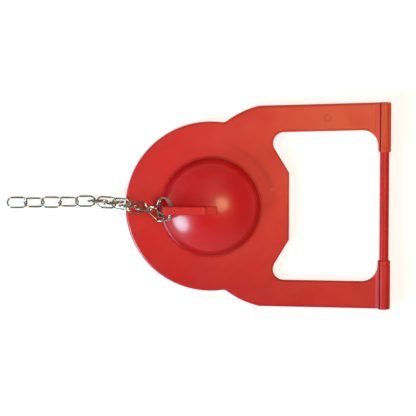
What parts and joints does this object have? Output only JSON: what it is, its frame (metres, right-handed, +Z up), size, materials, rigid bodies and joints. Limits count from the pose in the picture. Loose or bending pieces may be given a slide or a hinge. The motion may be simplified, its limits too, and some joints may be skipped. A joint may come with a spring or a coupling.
{
  "type": "toilet flapper",
  "caption": "Rubber flapper for a flush valve: sealing disc with a hollow dome, two arms to a hinge rod, and a steel lift chain on a split ring.",
  "frame": {"origin": "bottom centre of the box round the whole part, on the surface that it lies on", "axes": "+X from the chain to the hinge rod, +Y along the hinge rod, +Z up from the sealing face through the dome"},
  "size_m": [0.1934, 0.105, 0.0206],
  "materials": {
    "moulded_rubber": "satin moulded rubber, red",
    "rod_plastic": "glossy moulded plastic, red",
    "ring_steel": "polished spring steel",
    "chain_steel": "bright steel wire"
  },
  "bodies": {
    "rod": {"hinge_rod": "rod_plastic"},
    "moulding": {"flapper_body": "moulded_rubber"},
    "ring": {"split_ring": "ring_steel"},
    "link_01": {"chain_link_01": "chain_steel"},
    "link_02": {"chain_link_02": "chain_steel"},
    "link_03": {"chain_link_03": "chain_steel"},
    "link_04": {"chain_link_04": "chain_steel"},
    "link_05": {"chain_link_05": "chain_steel"},
    "link_06": {"chain_link_06": "chain_steel"},
    "link_07": {"chain_link_07": "chain_steel"},
    "link_08": {"chain_link_08": "chain_steel"},
    "link_09": {"chain_link_09": "chain_steel"},
    "link_10": {"chain_link_10": "chain_steel"},
    "link_11": {"chain_link_11": "chain_steel"},
    "link_12": {"chain_link_12": "chain_steel"},
    "link_13": {"chain_link_13": "chain_steel"}
  },
  "joints": [
    {"name": "flapper_swing", "type": "hinge", "parent": "rod", "child": "moulding", "pos_m": [0.09355, 0, 0.0032], "axis": [0, 1, 0], "range_deg": [0, 90]},
    {"name": "ring_swing", "type": "hinge", "parent": "moulding", "child": "ring", "pos_m": [-0.01385, 0, 0.0171], "axis": [0, 1, 0], "range_deg": [0, 110]},
    {"name": "link_01_swing", "type": "hinge", "parent": "ring", "child": "link_01", "pos_m": [-0.0192, -0.00465, 0.00946], "axis": [-0.4581, 0.6018, -0.6542], "range_deg": [0, 17]},
    {"name": "link_02_swing", "type": "hinge", "parent": "link_01", "child": "link_02", "pos_m": [-0.0222, -0.00102, 0.0069], "axis": [0, 0, 1], "range_deg": [-10, 30]},
    {"name": "link_03_swing", "type": "hinge", "parent": "link_02", "child": "link_03", "pos_m": [-0.0262, 0.00005, 0.00635], "axis": [0.0523, 0.9986, 0], "range_deg": [0, 45]},
    {"name": "link_04_swing", "type": "hinge", "parent": "link_03", "child": "link_04", "pos_m": [-0.0302, 0.00078, 0.0069], "axis": [0, 0, -1], "range_deg": [-10, 15]},
    {"name": "link_05_swing", "type": "hinge", "parent": "link_04", "child": "link_05", "pos_m": [-0.0344, 0.00134, 0.00523], "axis": [0.0349, 0.9994, 0], "range_deg": [-8, 25]},
    {"name": "link_06_swing", "type": "hinge", "parent": "link_05", "child": "link_06", "pos_m": [-0.03793, 0.00261, 0.0032], "axis": [0, 0, 1], "range_deg": [-35, 6]},
    {"name": "link_07_swing", "type": "hinge", "parent": "link_06", "child": "link_07", "pos_m": [-0.04175, 0.00214, 0.00407], "axis": [-0.0349, -0.9994, 0], "range_deg": [-45, 20]},
    {"name": "link_08_swing", "type": "hinge", "parent": "link_07", "child": "link_08", "pos_m": [-0.0459, 0.003, 0.0032], "axis": [0, 0, -1], "range_deg": [-21, 35]},
    {"name": "link_09_swing", "type": "hinge", "parent": "link_08", "child": "link_09", "pos_m": [-0.0522, 0.0028, 0.0018], "axis": [0, 0.866, -0.5], "range_deg": [-45, 45]},
    {"name": "link_10_swing", "type": "hinge", "parent": "link_09", "child": "link_10", "pos_m": [-0.0608, 0.00242, 0.0018], "axis": [-0.0151, -0.8659, -0.5], "range_deg": [-45, 45]},
    {"name": "link_11_swing", "type": "hinge", "parent": "link_10", "child": "link_11", "pos_m": [-0.0694, 0.00221, 0.0018], "axis": [0.0151, 0.8659, -0.5], "range_deg": [-45, 45]},
    {"name": "link_12_swing", "type": "hinge", "parent": "link_11", "child": "link_12", "pos_m": [-0.078, 0.0022, 0.0018], "axis": [0, -0.866, -0.5], "range_deg": [-45, 45]},
    {"name": "link_13_swing", "type": "hinge", "parent": "link_12", "child": "link_13", "pos_m": [-0.0866, 0.0022, 0.0018], "axis": [0, 0.866, -0.5], "range_deg": [-45, 45]}
  ]
}
